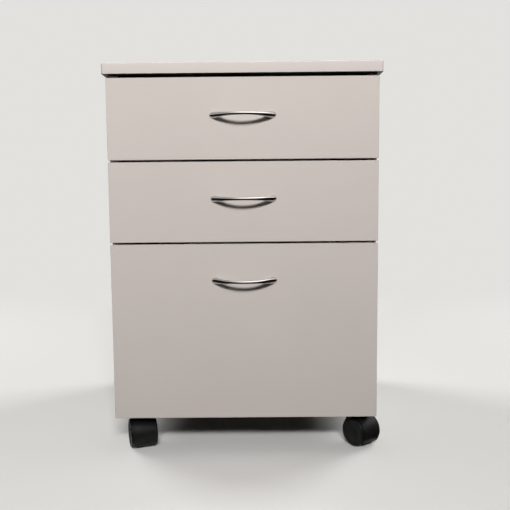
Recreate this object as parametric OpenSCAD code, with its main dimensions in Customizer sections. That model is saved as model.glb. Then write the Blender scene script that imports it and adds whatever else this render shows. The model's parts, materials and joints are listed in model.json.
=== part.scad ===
// Rolling pedestal cabinet: a melamine carcass on four twin-wheel castors, with two
// box drawers on roller runners and one file drawer on ball-bearing slides.
// Frame: millimetres, +Z up, the drawers open towards -Y, X = 0 is the middle plane.
// The origin lies on the floor, at the middle of the overall width and depth.

/* [Carcass] */
// Width over the side panels, and of the drawer fronts
cabinet_w = 450; // [430:1:520]
// Depth of the side panels
carcass_d = 430; // [400:1:560]
// Thickness of the carcass boards
board_t = 16; // [16:0.5:19]

/* [Top] */
// Thickness of the top
top_t = 18; // [16:1:30]
// How far the top stands out past each side panel
top_side_overhang = 6; // [0:0.5:20]
// How far the top stands out past the drawer fronts
top_front_overhang = 4; // [0:0.5:20]
// How far the top stands out past the back
top_rear_overhang = 4; // [0:0.5:20]

/* [Drawer fronts] */
// Height of the two box drawer fronts
box_front_h = 134; // [128:1:180]
// Height of the file drawer front
file_front_h = 300; // [290:1:360]
// Thickness of the drawer fronts
front_t = 16; // [16:0.5:19]
// Gap between one drawer front and the next
front_gap = 3.5; // [2:0.5:5]
// Gap between the top and the highest drawer front
top_gap = 6; // [3:0.5:12]
// Gap between the drawer fronts and the carcass
front_standoff = 2; // [1:0.5:4]

/* [Handles] */
// Distance between the two screws of a handle
handle_pitch = 96; // [64:32:160]
// Distance from the upper edge of a front to the screws of its handle
handle_drop = 62; // [40:1:70]
// Reach of the bow's centre line from the front
handle_bow = 26; // [20:1:32]
// Height of the bow in the middle
handle_mid_h = 5.3; // [4:0.1:8]
// Depth of the bow in the middle
handle_mid_d = 5; // [4:0.1:9]
// Height of a foot
handle_foot_h = 11; // [9:0.5:14]
// Width of a foot
handle_foot_w = 15; // [10:0.5:18]
// Diameter of the handle screws
handle_screw_d = 4; // [3:0.5:5]

/* [Drawer boxes] */
// Thickness of the folded sheet steel
sheet_t = 1.2; // [0.8:0.1:1.5]
// Height of the box drawers' steel sides
box_side_h = 86; // [60:1:95]
// Height of the file drawer's steel sides
file_side_h = 255; // [200:1:260]
// Thickness of the drawer base boards
base_t = 12; // [9:0.5:16]
// Thickness of the drawer back boards
back_t = 12; // [9:0.5:16]
// Free space behind a closed drawer
drawer_rear_gap = 16; // [8:1:40]
// Width of the flange under the base board
base_flange = 13; // [8:0.5:20]
// Width of the tab that the drawer front is screwed to
front_tab = 17; // [12:0.5:24]
// How much lower than its sides the drawer back stands
back_step = 8; // [0:1:20]
// Height of the file drawer's steel sides above the bottom panel
file_floor_gap = 6; // [3:0.5:20]
// Thickness of the hanging rails over the file drawer's sides
rail_lift = 4; // [2:0.5:8]
// Overlap of the hanging rails on the file drawer's sides
rail_grip = 12; // [6:0.5:20]

/* [Runners] */
// Space between the carcass and a drawer box, on each side
runner_gap = 12.7; // [12.7:0.1:14]
// Height of the roller runners above the lower edge of their drawer front
runner_rise = 20; // [10:1:24]
// Diameter of the runner rollers
roller_d = 16; // [13:0.5:18]
// Width of the runner rollers
roller_w = 5.8; // [4:0.1:6]
// Diameter of the roller pins
pin_d = 5; // [4:0.5:6]
// Height of the ball-bearing slides
slide_h = 45; // [45:1:53]
// Height of the ball-bearing slides' middle above the file drawer's steel sides' lower edge
slide_rise = 70; // [50:1:120]
// Diameter of the balls between the outer and the middle member
outer_ball_d = 4; // [3:0.1:4.5]
// Diameter of the balls between the middle and the inner member
inner_ball_d = 3.5; // [3:0.1:4]
// Balls in each row
ball_count = 9; // [5:1:10]
// Distance from ball to ball
ball_pitch = 20; // [12:1:22]

/* [Castors] */
// Diameter of the castor wheels
wheel_d = 50; // [40:1:60]
// Width of one castor wheel
wheel_w = 16; // [12:0.5:20]
// Height of a castor above the top of its wheels
castor_rise = 10; // [8:0.5:16]
// Distance from the swivel axis to the wheel axle
castor_trail = 22; // [16:0.5:28]
// Thickness of the housing between the two wheels
web_t = 12; // [10.5:0.5:16]
// Width of the hood over the wheels
hood_w = 37; // [30:0.5:44]
// Thickness of the hood
hood_t = 1.5; // [1:0.1:2.5]
// Diameter of the wheel axle
axle_d = 6; // [4:0.5:7]
// Diameter of the kingpin
kingpin_d = 7; // [5:0.5:7.5]
// Side of the square castor plate
plate_w = 38; // [36:1:44]
// Thickness of the castor plate
plate_t = 2; // [1.5:0.1:3]
// Distance between the screws of a castor plate
plate_pitch = 26; // [25:0.5:30]
// Distance from the cabinet's side to a swivel axis
castor_inset_x = 34; // [34:0.5:60]
// Distance from the ends of the bottom panel to a swivel axis
castor_inset_y = 33; // [24:0.5:70]
// Direction in which each castor's wheels trail, from +X towards +Y
castor_turns = [-71, -53, -127, -64];

/* [Fasteners] */
// Diameter of the cam locks
cam_d = 15; // [12:0.5:16]
// Depth of the cam locks
cam_h = 12.5; // [10:0.5:13]
// Distance from a board's end to its cam locks
cam_setback = 24; // [20:1:34]
// Diameter of the cam bolts
bolt_d = 6; // [5:0.5:7]
// Diameter of the wood dowels
dowel_d = 8; // [6:0.5:8]
// Depth of bolts and dowels in the board that they enter
entry_depth = 11; // [8:0.5:12]
// Depth of a dowel in the board that holds it
dowel_hold = 18; // [12:1:22]
// Distance from a cam bolt to its dowel
dowel_shift = 32; // [24:1:48]
// Distance from the front and rear edges to the nearest cam bolts
joint_inset = 90; // [70:1:120]
// Diameter of the wood screws
screw_d = 3.6; // [3:0.1:4]
// Length of the wood screws in their board
screw_len = 11; // [8:0.5:13]

/* [Hidden] */
$fn = 48;
// Radial gap of a turning fit, of a seated fit and of a loose hole
turn_gap = 0.05;
seat_gap = 0.05;
hole_gap = 0.2;
// Gap between parts that roll or slide past each other
roll_gap = 0.2;
// Gap beside a piece that is laid between two others
lay_gap = 0.3;
// How far a cutting shape runs past the face that it cuts
cut = 1;

// Screw heads
flat_head_h = 1.2;
pan_head_h = 2.2;
head_d = 7.2;
drive_w = 0.9;
drive_len = 3.6;
drive_depth = 0.7;

// Heights
castor_h = wheel_d + castor_rise;
carcass_z = castor_h;
file_front_z = carcass_z;
middle_front_z = file_front_z + file_front_h + front_gap;
top_front_z = middle_front_z + box_front_h + front_gap;
carcass_top_z = top_front_z + box_front_h + top_gap;
carcass_h = carcass_top_z - carcass_z;
front_zs = [top_front_z, middle_front_z, file_front_z];
front_hs = [box_front_h, box_front_h, file_front_h];

// Places along Y, with the overall depth centred on the origin
handle_reach = handle_bow + handle_mid_d / 2;
top_d = top_front_overhang + front_t + front_standoff + carcass_d + top_rear_overhang;
overall_d = top_d + max(0, handle_reach - top_front_overhang);
top_rear_y = overall_d / 2;
top_front_y = top_rear_y - top_d;
front_face_y = top_front_y + top_front_overhang;
front_back_y = front_face_y + front_t;
carcass_front_y = front_back_y + front_standoff;
carcass_rear_y = carcass_front_y + carcass_d;
back_face_y = carcass_rear_y - board_t;
drawer_rear_y = back_face_y - drawer_rear_gap;

// Places along X
inner_w = cabinet_w - 2 * board_t;
box_inner_w = inner_w - 2 * (runner_gap + sheet_t);
top_w = cabinet_w + 2 * top_side_overhang;

// Roller runners, with X from the carcass side inwards and Z from the runner's lower edge
runner_setback = 2;
channel_spare = 2;
lip_gap = 1.3;
lip_h = 3.5;
top_flange_step = 2.6;
track_gap = 0.8;
track_lip_h = 2.6;
pin_head_d = 8;
pin_head_t = 0.9;
rear_pin_head_t = 0.6;
front_roller_inset = 16;
rear_roller_inset = 12;
roller_spare = 3;
runner_screw_front = 34;
runner_screw_rear = 24;
runner_front_y = carcass_front_y + runner_setback;
channel_top = sheet_t + roller_d + channel_spare;
runner_h = channel_top + sheet_t;
lip_w = runner_gap - lip_gap;
top_flange_w = lip_w - top_flange_step;
track_z = runner_h + track_gap;
track_x = sheet_t + flat_head_h + roll_gap;
cabinet_roller_x = sheet_t + flat_head_h;
cabinet_roller_z = track_z - roll_gap - roller_d / 2;
cabinet_roller_y = runner_front_y + front_roller_inset;
drawer_roller_x = lip_w - sheet_t - 2 * roll_gap - roller_w;
drawer_roller_z = sheet_t + roll_gap + roller_d / 2;
drawer_roller_y = drawer_rear_y - rear_roller_inset;
runner_rear_y = drawer_roller_y + roller_d / 2 + roller_spare;
runner_screw_z = drawer_roller_z;
runner_middle_y = (runner_front_y + runner_rear_y) / 2;
runner_screw_ys = [cabinet_roller_y + runner_screw_front, runner_middle_y, runner_rear_y - runner_screw_rear];

// Steel drawer sides
side_lift = 2;
hem_w = 2.5;
file_back_step = 40;
function is_box(i) = i < 2;
function runner_z(i) = front_zs[i] + runner_rise;
function side_z(i) = is_box(i) ? runner_z(i) + side_lift : carcass_z + board_t + file_floor_gap;
function side_h(i) = is_box(i) ? box_side_h : file_side_h;
function side_top(i) = side_z(i) + side_h(i);
function base_z(i) = side_z(i) + sheet_t;
function base_top(i) = base_z(i) + base_t;
function back_top(i) = is_box(i) ? side_top(i) - back_step : side_top(i) - rail_grip - file_back_step;
function handle_z(i) = front_zs[i] + front_hs[i] - handle_drop;
tab_screw_x = runner_gap + sheet_t + front_tab / 2;
tab_screw_inset = 16;
function tab_screw_zs(i) = [base_top(i) + tab_screw_inset, side_top(i) - tab_screw_inset];

// Ball-bearing slides, with X from the carcass side inwards and Z from the slide's middle
race_gap = 0.15;
slide_overrun = 4;
slide_mouth_gap = 1.7;
slide_web_gap = 1;
slide_head_gap = 0.6;
slide_screw_front = 40;
slide_screw_rear = 60;
slide_z = side_z(2) + slide_rise;
slide_front_y = runner_front_y;
slide_rear_y = drawer_rear_y + slide_overrun;
slide_outer_x1 = runner_gap - slide_mouth_gap;
slide_middle_x0 = sheet_t + flat_head_h + slide_head_gap;
slide_middle_x1 = runner_gap - sheet_t - slide_web_gap;
slide_inner_x0 = slide_middle_x0 + sheet_t + slide_web_gap;
outer_ball_x = (slide_middle_x0 + slide_middle_x1) / 2;
inner_ball_x = (slide_inner_x0 + slide_middle_x1) / 2;
outer_ball_z = slide_h / 2 - sheet_t - race_gap - outer_ball_d / 2;
middle_half_h = outer_ball_z - outer_ball_d / 2 - race_gap;
inner_ball_z = middle_half_h - sheet_t - race_gap - inner_ball_d / 2;
inner_half_h = inner_ball_z - inner_ball_d / 2 - race_gap;
cage_t = 0.8;
cage_margin = 1.1;
cage_y = (slide_front_y + slide_rear_y) / 2 - ball_pitch / 4;
slide_screw_ys = [slide_front_y + slide_screw_front, slide_rear_y - slide_screw_rear];

// Castors
wheel_r = wheel_d / 2;
wheel_gap = 1;
wheel_fillet = 3;
wheel_hub_wall = 4.5;
wheel_rim_w = 6.5;
wheel_cap_t = 3;
wheel_hub_d = axle_d + 2 * wheel_hub_wall;
wheel_dish_d = wheel_d - 2 * wheel_rim_w;
wheel_dish_t = 1.2;
wheel_recess = 4;
axle_depth = wheel_w - wheel_cap_t;
axle_end_gap = 0.5;
axle_eye_wall = 2;
hood_gap = 0.8;
hood_in_r = wheel_r + hood_gap;
hood_r = hood_in_r + hood_t;
hood_low = -45;
hood_back = 190;
boss_d = 22;
boss_z = wheel_r + kingpin_d;
plate_gap = 0.5;
plate_corner = 4;
kingpin_len = castor_h - wheel_r - plate_t;
castor_xs = [-1, 1, -1, 1] * (cabinet_w / 2 - castor_inset_x);
castor_front_y = carcass_front_y + castor_inset_y;
castor_rear_y = back_face_y - castor_inset_y;
castor_ys = [castor_front_y, castor_front_y, castor_rear_y, castor_rear_y];

// Colours
melamine = [0.80, 0.77, 0.75];
zinc = [0.72, 0.73, 0.75];
chrome = [0.86, 0.87, 0.88];
drawer_grey = [0.62, 0.63, 0.63];
nylon_white = [0.92, 0.92, 0.90];
castor_black = [0.07, 0.07, 0.08];
beech = [0.80, 0.64, 0.42];
rail_black = [0.10, 0.10, 0.11];

drawers = ["top_drawer", "middle_drawer", "file_drawer"];
roller_drawers = ["top", "middle"];
castors = ["front_left_castor", "front_right_castor", "rear_left_castor", "rear_right_castor"];

// Placing helpers

// Children are drawn with X from the left carcass side's inner face inwards.
module on_left() {
    translate([-inner_w / 2, 0, 0]) children();
}

// Children are drawn with X from the right carcass side's inner face inwards.
module on_right() {
    mirror([1, 0, 0]) on_left() children();
}

module on_both_sides() {
    on_left() children();
    on_right() children();
}

// Extrudes a profile drawn in X and Z along Y, from y0 to y1.
module along_y(y0, y1) {
    translate([0, y1, 0]) rotate([90, 0, 0]) linear_extrude(y1 - y0) children();
}

// One straight wall of a sheet profile, in X and Z.
module wall(x0, x1, z0, z1) {
    translate([x0, z0]) square([x1 - x0, z1 - z0]);
}

// A cylinder along X.
module rod_x(d, x0, x1) {
    translate([x0, 0, 0]) rotate([0, 90, 0]) cylinder(d = d, h = x1 - x0);
}

// A box between two corners.
module block(low, high) {
    translate(low) cube(high - low);
}

// A cross-head screw: its seat is at Z = 0, its head above and its shank below.
module screw(d, len, head_h) {
    difference() {
        union() {
            cylinder(d = head_d, h = head_h);
            translate([0, 0, -len]) cylinder(d = d, h = len);
        }
        for (turn = [0, 90]) rotate([0, 0, turn])
            translate([-drive_len / 2, -drive_w / 2, head_h - drive_depth])
                cube([drive_len, drive_w, drive_depth + cut]);
    }
}

// Board joints: cam locks, cam bolts and dowels

joint_ys = [carcass_front_y + joint_inset, back_face_y - joint_inset];
joint_zs = [carcass_z + joint_inset, carcass_top_z - joint_inset];

// Places children at every joint. There, +Z runs from the board with the cam into the board
// that the bolt enters, and +X points out of the face that the cam is let into.
module at_joints() {
    for (side = [-1, 1]) {
        for (y = joint_ys) {
            translate([side * (cabinet_w - board_t) / 2, y, carcass_top_z])
                rotate([0, 0, side > 0 ? 180 : 0]) children();
            translate([side * inner_w / 2, y, carcass_z + board_t / 2])
                rotate([0, 90, side > 0 ? 0 : 180]) children();
        }
        for (z = joint_zs)
            translate([side * inner_w / 2, carcass_rear_y - board_t / 2, z])
                rotate([0, side > 0 ? 0 : 180, 0]) rotate([-90, 0, 0]) rotate([0, 90, 0]) children();
    }
}

// A cam lock's cylinder, let in from the face of its board.
module cam_space(d, h) {
    translate([board_t / 2 - h, 0, -cam_setback]) rod_x(d, 0, h);
}

module bolt_space(d, entry) {
    translate([0, 0, -cam_setback]) cylinder(d = d, h = cam_setback + entry);
}

module dowel_space(d, hold, entry) {
    translate([0, dowel_shift, -hold]) cylinder(d = d, h = hold + entry);
}

// All the holes that the joints need, to be cut from the boards.
module joint_holes() {
    at_joints() {
        cam_space(cam_d, cam_h);
        bolt_space(bolt_d, entry_depth);
        dowel_space(dowel_d, dowel_hold, entry_depth);
    }
}

module cam_locks() {
    color(zinc) at_joints() difference() {
        cam_space(cam_d - 2 * seat_gap, cam_h);
        bolt_space(bolt_d + hole_gap, 0);
        translate([board_t / 2 - drive_depth, -drive_len, -cam_setback - drive_w / 2])
            cube([drive_depth + cut, 2 * drive_len, drive_w]);
    }
}

module cam_bolts() {
    color(zinc) at_joints() bolt_space(bolt_d - 2 * seat_gap, entry_depth);
}

module wood_dowels() {
    color(beech) at_joints() dowel_space(dowel_d - 2 * seat_gap, dowel_hold, entry_depth);
}

// Carcass boards

module top_panel() {
    color(melamine) difference() {
        block([-top_w / 2, top_front_y, carcass_top_z], [top_w / 2, top_rear_y, carcass_top_z + top_t]);
        joint_holes();
    }
}

module left_side_panel() {
    color(melamine) difference() {
        block([-cabinet_w / 2, carcass_front_y, carcass_z], [-inner_w / 2, carcass_rear_y, carcass_top_z]);
        joint_holes();
        on_left() runner_screw_places() screw_hole(screw_len);
    }
}

module right_side_panel() {
    color(melamine) difference() {
        block([inner_w / 2, carcass_front_y, carcass_z], [cabinet_w / 2, carcass_rear_y, carcass_top_z]);
        joint_holes();
        on_right() runner_screw_places() screw_hole(screw_len);
    }
}

module back_panel() {
    color(melamine) difference() {
        block([-inner_w / 2, back_face_y, carcass_z], [inner_w / 2, carcass_rear_y, carcass_top_z]);
        joint_holes();
    }
}

module bottom_panel() {
    color(melamine) difference() {
        block([-inner_w / 2, carcass_front_y, carcass_z], [inner_w / 2, back_face_y, carcass_z + board_t]);
        joint_holes();
        castor_screw_places() screw_hole(plate_t + screw_len);
    }
}

// A pilot hole below the seat of a wood screw, a little deeper than the screw is long.
module screw_hole(len) {
    translate([0, 0, -len - hole_gap]) cylinder(d = screw_d + 2 * seat_gap, h = len + hole_gap);
}

// Roller runners

module cabinet_runner_profile() {
    wall(0, sheet_t, 0, runner_h);
    wall(0, lip_w, 0, sheet_t);
    wall(lip_w - sheet_t, lip_w, 0, lip_h);
    wall(0, top_flange_w, channel_top, runner_h);
}

// A fixed runner on one carcass side, with the pin of its front roller.
module cabinet_runner(i) {
    roller_end_x = cabinet_roller_x + roller_w;
    roller_room = (roller_d + roller_spare) / 2;
    translate([0, 0, runner_z(i)]) {
        difference() {
            along_y(runner_front_y, runner_rear_y) cabinet_runner_profile();
            block([sheet_t, runner_front_y - cut, lip_h],
                [lip_w, cabinet_roller_y + roller_room, runner_h + cut]);
            for (y = runner_screw_ys)
                translate([0, y, runner_screw_z]) rod_x(screw_d + 2 * hole_gap, -cut, sheet_t + cut);
        }
        translate([0, cabinet_roller_y, cabinet_roller_z]) {
            rod_x(pin_d, sheet_t / 2, roller_end_x + roll_gap + pin_head_t);
            rod_x(pin_head_d, roller_end_x + roll_gap, roller_end_x + roll_gap + pin_head_t);
        }
    }
}

module cabinet_runners(i) {
    color(drawer_grey) on_both_sides() cabinet_runner(i);
}

// A roller with a shallow crown on each end of its rim.
module roller(x0) {
    chamfer = 0.6;
    bore_r = pin_d / 2 + turn_gap;
    translate([x0, 0, 0]) rotate([0, 90, 0]) rotate_extrude()
        polygon([
            [bore_r, 0], [roller_d / 2 - chamfer, 0], [roller_d / 2, chamfer],
            [roller_d / 2, roller_w - chamfer], [roller_d / 2 - chamfer, roller_w], [bore_r, roller_w]
        ]);
}

module cabinet_rollers(i) {
    color(nylon_white) on_both_sides()
        translate([0, cabinet_roller_y, runner_z(i) + cabinet_roller_z]) roller(cabinet_roller_x);
}

module drawer_rollers(i) {
    color(nylon_white) on_both_sides()
        translate([0, drawer_roller_y, runner_z(i) + drawer_roller_z]) roller(drawer_roller_x);
}

// Every screw that holds a runner or slide to one carcass side, with its seat on the sheet.
module runner_screw_places() {
    for (i = [0, 1]) for (y = runner_screw_ys)
        translate([sheet_t, y, runner_z(i) + runner_screw_z]) rotate([0, 90, 0]) children();
    for (y = slide_screw_ys)
        translate([sheet_t, y, slide_z]) rotate([0, 90, 0]) children();
}

module runner_screws() {
    color(zinc) on_both_sides() runner_screw_places() screw(screw_d, screw_len, flat_head_h);
}

// Ball-bearing slides of the file drawer

// A channel that is open towards +X when its web is at x0, and towards -X when it is at x1.
module slide_profile(x0, x1, half_h, web_at_x1) {
    web_x = web_at_x1 ? x1 - sheet_t : x0;
    wall(web_x, web_x + sheet_t, -half_h, half_h);
    wall(x0, x1, half_h - sheet_t, half_h);
    wall(x0, x1, -half_h, sheet_t - half_h);
}

module slide_members(x0, x1, half_h, web_at_x1) {
    on_both_sides() translate([0, 0, slide_z]) difference() {
        along_y(slide_front_y, slide_rear_y) slide_profile(x0, x1, half_h, web_at_x1);
        if (!web_at_x1 && x0 == 0) for (y = slide_screw_ys)
            translate([0, y, 0]) rod_x(screw_d + 2 * hole_gap, -cut, sheet_t + cut);
        if (web_at_x1) for (y = slide_screw_ys)
            translate([0, y, 0]) rod_x(screw_d + 2 * hole_gap, x1 - sheet_t - cut, x1 + cut);
    }
}

module file_slide_outer_members() {
    color(zinc) slide_members(0, slide_outer_x1, slide_h / 2, false);
}

module file_slide_middle_members() {
    color(zinc) slide_members(slide_middle_x0, slide_middle_x1, middle_half_h, false);
}

module file_slide_inner_members() {
    color(zinc) slide_members(slide_inner_x0, runner_gap, inner_half_h, true);
}

// One row of balls in its flat cage, with the balls along Y.
module ball_row(d) {
    row_len = ball_count * ball_pitch;
    cage_w = d + 2 * cage_margin;
    difference() {
        translate([-cage_w / 2, -row_len / 2, -cage_t / 2]) cube([cage_w, row_len, cage_t]);
        for (n = [0 : ball_count - 1])
            translate([0, (n + 0.5) * ball_pitch - row_len / 2, -cage_t])
                cylinder(d = d + 2 * race_gap, h = 2 * cage_t);
    }
    for (n = [0 : ball_count - 1])
        translate([0, (n + 0.5) * ball_pitch - row_len / 2, 0]) sphere(d = d);
}

module slide_balls(d, x, z) {
    color(chrome) on_both_sides() for (level = [-1, 1])
        translate([x, cage_y, slide_z + level * z]) ball_row(d);
}

module file_slide_outer_balls() {
    slide_balls(outer_ball_d, outer_ball_x, outer_ball_z);
}

module file_slide_inner_balls() {
    slide_balls(inner_ball_d, inner_ball_x, inner_ball_z);
}

// Drawers: 0 is the top drawer, 1 the middle drawer and 2 the file drawer

module drawer_front(i) {
    color(melamine) difference() {
        block([-cabinet_w / 2, front_face_y, front_zs[i]],
            [cabinet_w / 2, front_back_y, front_zs[i] + front_hs[i]]);
        handle_screw_places(i) translate([0, 0, -front_t - cut])
            cylinder(d = handle_screw_d + 2 * hole_gap, h = front_t + 2 * cut);
        tab_screw_places(i) screw_hole(screw_len);
    }
}

// The two handle screws of a front, with their seat on the back of the front.
module handle_screw_places(i) {
    for (side = [-1, 1])
        translate([side * handle_pitch / 2, front_back_y, handle_z(i)]) rotate([-90, 0, 0]) children();
}

// The screws through the steel sides' front tabs, with their seat on the tab.
module tab_screw_places(i) {
    for (side = [-1, 1]) for (z = tab_screw_zs(i))
        translate([side * (inner_w / 2 - tab_screw_x), front_back_y + sheet_t, z])
            rotate([-90, 0, 0]) children();
}

handle_grip_depth = 4;

module drawer_screws(i) {
    color(zinc) {
        handle_screw_places(i) screw(handle_screw_d, front_t + handle_grip_depth, pan_head_h);
        tab_screw_places(i) screw(screw_d, screw_len, flat_head_h);
        if (!is_box(i)) on_both_sides() for (y = slide_screw_ys)
            translate([runner_gap - sheet_t, y, slide_z]) rotate([0, -90, 0])
                screw(screw_d, sheet_t + sheet_t, flat_head_h);
    }
}

// The bow handle: an oval section carried along an arch, which spreads into a flat foot at both ends.
bow_rings = 29;
bow_rise = 1.55;
bow_tilt = 3;
bow_toe = 12;
bow_flare = 3;
bow_sides = 16;
full_turn = 360;
function bow_turn(r) = full_turn / 2 * r / (bow_rings - 1);
function bow_centre(a) = [handle_pitch / 2 * cos(a), -handle_bow * pow(abs(sin(a)), bow_rise), 0];
function bow_side(a) =
    let (lean = pow(abs(sin(a)), bow_tilt)) [-sign(cos(a)) * sqrt(1 - lean * lean), lean, 0];
function bow_size(a, middle, foot, power) = middle + (foot - middle) * pow(abs(cos(a)), power);
function bow_half_d(a) = bow_size(a, handle_mid_d, handle_foot_w, bow_toe) / 2;
function bow_half_h(a) = bow_size(a, handle_mid_h, handle_foot_h, bow_flare) / 2;
function bow_point(a, b) =
    bow_centre(a) + bow_side(a) * bow_half_d(a) * cos(b) + [0, 0, bow_half_h(a) * sin(b)];
bow_points = [for (r = [0 : bow_rings - 1]) for (s = [0 : bow_sides - 1])
    bow_point(bow_turn(r), full_turn * s / bow_sides)];
function bow_index(r, s) = r * bow_sides + s % bow_sides;
bow_last = bow_rings - 1;
bow_faces = concat(
    [for (r = [0 : bow_last - 1]) for (s = [0 : bow_sides - 1])
        [bow_index(r, s), bow_index(r + 1, s), bow_index(r + 1, s + 1)]],
    [for (r = [0 : bow_last - 1]) for (s = [0 : bow_sides - 1])
        [bow_index(r, s), bow_index(r + 1, s + 1), bow_index(r, s + 1)]],
    [for (s = [1 : bow_sides - 2]) [bow_index(0, 0), bow_index(0, s), bow_index(0, s + 1)]],
    [for (s = [1 : bow_sides - 2])
        [bow_index(bow_last, 0), bow_index(bow_last, s + 1), bow_index(bow_last, s)]]
);

module drawer_handle(i) {
    color(chrome) difference() {
        translate([0, front_face_y, handle_z(i)]) polyhedron(bow_points, bow_faces);
        handle_screw_places(i) translate([0, 0, -front_t - handle_grip_depth - hole_gap])
            cylinder(d = handle_screw_d + 2 * seat_gap, h = handle_grip_depth + hole_gap + cut);
    }
}

// A folded steel side: web, base flange, front tab and, on a box drawer, the runner track.
module drawer_side(i) {
    web_x = runner_gap;
    web_x1 = runner_gap + sheet_t;
    difference() {
        union() {
            along_y(front_back_y, drawer_rear_y) {
                wall(web_x, web_x1, side_z(i), side_top(i));
                if (is_box(i)) wall(web_x - hem_w, web_x1, side_top(i) - sheet_t, side_top(i));
            }
            along_y(front_back_y + sheet_t, drawer_rear_y)
                wall(web_x, web_x1 + base_flange, side_z(i), base_z(i));
            along_y(front_back_y, front_back_y + sheet_t)
                wall(web_x, web_x1 + front_tab, side_z(i), side_top(i));
            if (is_box(i)) drawer_track(i);
        }
        if (!is_box(i)) for (y = slide_screw_ys)
            translate([0, y, slide_z]) rod_x(screw_d + 2 * hole_gap, web_x - cut, web_x1 + cut);
        for (z = tab_screw_zs(i))
            translate([tab_screw_x, front_back_y - cut, z]) rotate([-90, 0, 0])
                cylinder(d = screw_d + 2 * hole_gap, h = sheet_t + 2 * cut);
    }
}

// The flange that rides on the front roller, and the pin of the rear roller.
module drawer_track(i) {
    pin_end_x = drawer_roller_x - roll_gap - rear_pin_head_t;
    translate([0, 0, runner_z(i)]) {
        along_y(runner_front_y, drawer_rear_y) {
            wall(track_x, runner_gap + sheet_t / 2, track_z, track_z + sheet_t);
            wall(track_x, track_x + sheet_t, track_z, track_z + track_lip_h);
        }
        translate([0, drawer_roller_y, drawer_roller_z]) {
            rod_x(pin_d, pin_end_x, runner_gap + sheet_t / 2);
            rod_x(pin_head_d, pin_end_x, drawer_roller_x - roll_gap);
        }
    }
}

module drawer_left_side(i) {
    color(drawer_grey) on_left() drawer_side(i);
}

module drawer_right_side(i) {
    color(drawer_grey) on_right() drawer_side(i);
}

module drawer_base(i) {
    half_w = box_inner_w / 2 - lay_gap;
    front_y = front_back_y + sheet_t + lay_gap;
    color(melamine) block([-half_w, front_y, base_z(i)], [half_w, drawer_rear_y, base_top(i)]);
}

module drawer_back(i) {
    half_w = box_inner_w / 2 - lay_gap;
    front_y = drawer_rear_y - back_t;
    color(melamine) block([-half_w, front_y, base_top(i)], [half_w, drawer_rear_y, back_top(i)]);
}

// The rails that the suspension files hang on, slipped over the file drawer's sides.
module file_hanging_rails() {
    slot_gap = 0.1;
    rail_wall = 1.4;
    web_x = runner_gap;
    rail_end_gap = 8;
    color(rail_black) on_both_sides()
        along_y(front_back_y + sheet_t + rail_end_gap, drawer_rear_y - rail_end_gap) difference() {
            wall(web_x - slot_gap - rail_wall, web_x + sheet_t + slot_gap + rail_wall,
                side_top(2) - rail_grip, side_top(2) + rail_lift);
            wall(web_x - slot_gap, web_x + sheet_t + slot_gap,
                side_top(2) - rail_grip - cut, side_top(2) + slot_gap);
        }
}

// Castors, each drawn with its swivel axis on Z and its wheels trailing along +X

module at_castor(i) {
    translate([castor_xs[i], castor_ys[i], 0]) rotate([0, 0, castor_turns[i]]) children();
}

module at_plates() {
    for (i = [0 : 3]) translate([castor_xs[i], castor_ys[i], castor_h - plate_t]) children();
}

module plate_corners(pitch) {
    for (x = [-1, 1]) for (y = [-1, 1]) translate([x * pitch / 2, y * pitch / 2, 0]) children();
}

// Every castor screw, with its seat on the lower face of the plate.
module castor_screw_places() {
    at_plates() plate_corners(plate_pitch) rotate([180, 0, 0]) children();
}

// A square plate with round corners, and the kingpin that is riveted to it.
module castor_plates() {
    corner_pitch = plate_w - 2 * plate_corner;
    color(zinc) at_plates() {
        difference() {
            union() {
                plate_corners(corner_pitch) cylinder(r = plate_corner, h = plate_t);
                translate([-plate_w / 2, -corner_pitch / 2, 0]) cube([plate_w, corner_pitch, plate_t]);
                translate([-corner_pitch / 2, -plate_w / 2, 0]) cube([corner_pitch, plate_w, plate_t]);
            }
            plate_corners(plate_pitch) translate([0, 0, -cut])
                cylinder(d = screw_d + 2 * hole_gap, h = plate_t + 2 * cut);
        }
        translate([0, 0, -kingpin_len]) cylinder(d = kingpin_d, h = kingpin_len + plate_t / 2);
    }
}

module castor_screws() {
    color(zinc) castor_screw_places() screw(screw_d, plate_t + screw_len, pan_head_h);
}

// The outline of the hood and the web from the side, about the wheel axle.
module hood_outline() {
    reach = 2 * hood_r;
    step = (hood_back - hood_low) / 6;
    intersection() {
        circle(r = hood_r);
        polygon(concat([[0, 0]],
            [for (turn = [hood_low : step : hood_back + step / 2]) reach * [cos(turn), sin(turn)]]));
    }
    circle(d = wheel_hub_d + 2 * axle_eye_wall);
}

// Turns an outline drawn in X and Z into a solid of a given width across the wheels.
module across(width) {
    translate([castor_trail, width / 2, wheel_r]) rotate([90, 0, 0]) linear_extrude(width) children();
}

// The space of one wheel, beside the web.
module wheel_space() {
    for (side = [-1, 1])
        translate([castor_trail, side * web_t / 2, wheel_r]) rotate([-90 * side, 0, 0])
            cylinder(r = hood_in_r, h = wheel_gap + wheel_w + cut);
}

module castor_housing(i) {
    color(castor_black) at_castor(i) difference() {
        union() {
            across(hood_w) hood_outline();
            translate([0, 0, boss_z]) cylinder(d = boss_d, h = castor_h - plate_t - plate_gap - boss_z);
        }
        wheel_space();
        translate([castor_trail, 0, wheel_r]) rotate([90, 0, 0])
            cylinder(d = axle_d + 2 * seat_gap, h = 2 * web_t, center = true);
        translate([0, 0, wheel_r - hole_gap]) cylinder(d = kingpin_d + 2 * turn_gap, h = kingpin_len + cut);
    }
}

module castor_axle(i) {
    axle_len = web_t + 2 * (wheel_gap + axle_depth - axle_end_gap);
    color(zinc) at_castor(i) translate([castor_trail, 0, wheel_r]) rotate([90, 0, 0])
        cylinder(d = axle_d, h = axle_len, center = true);
}

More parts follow.
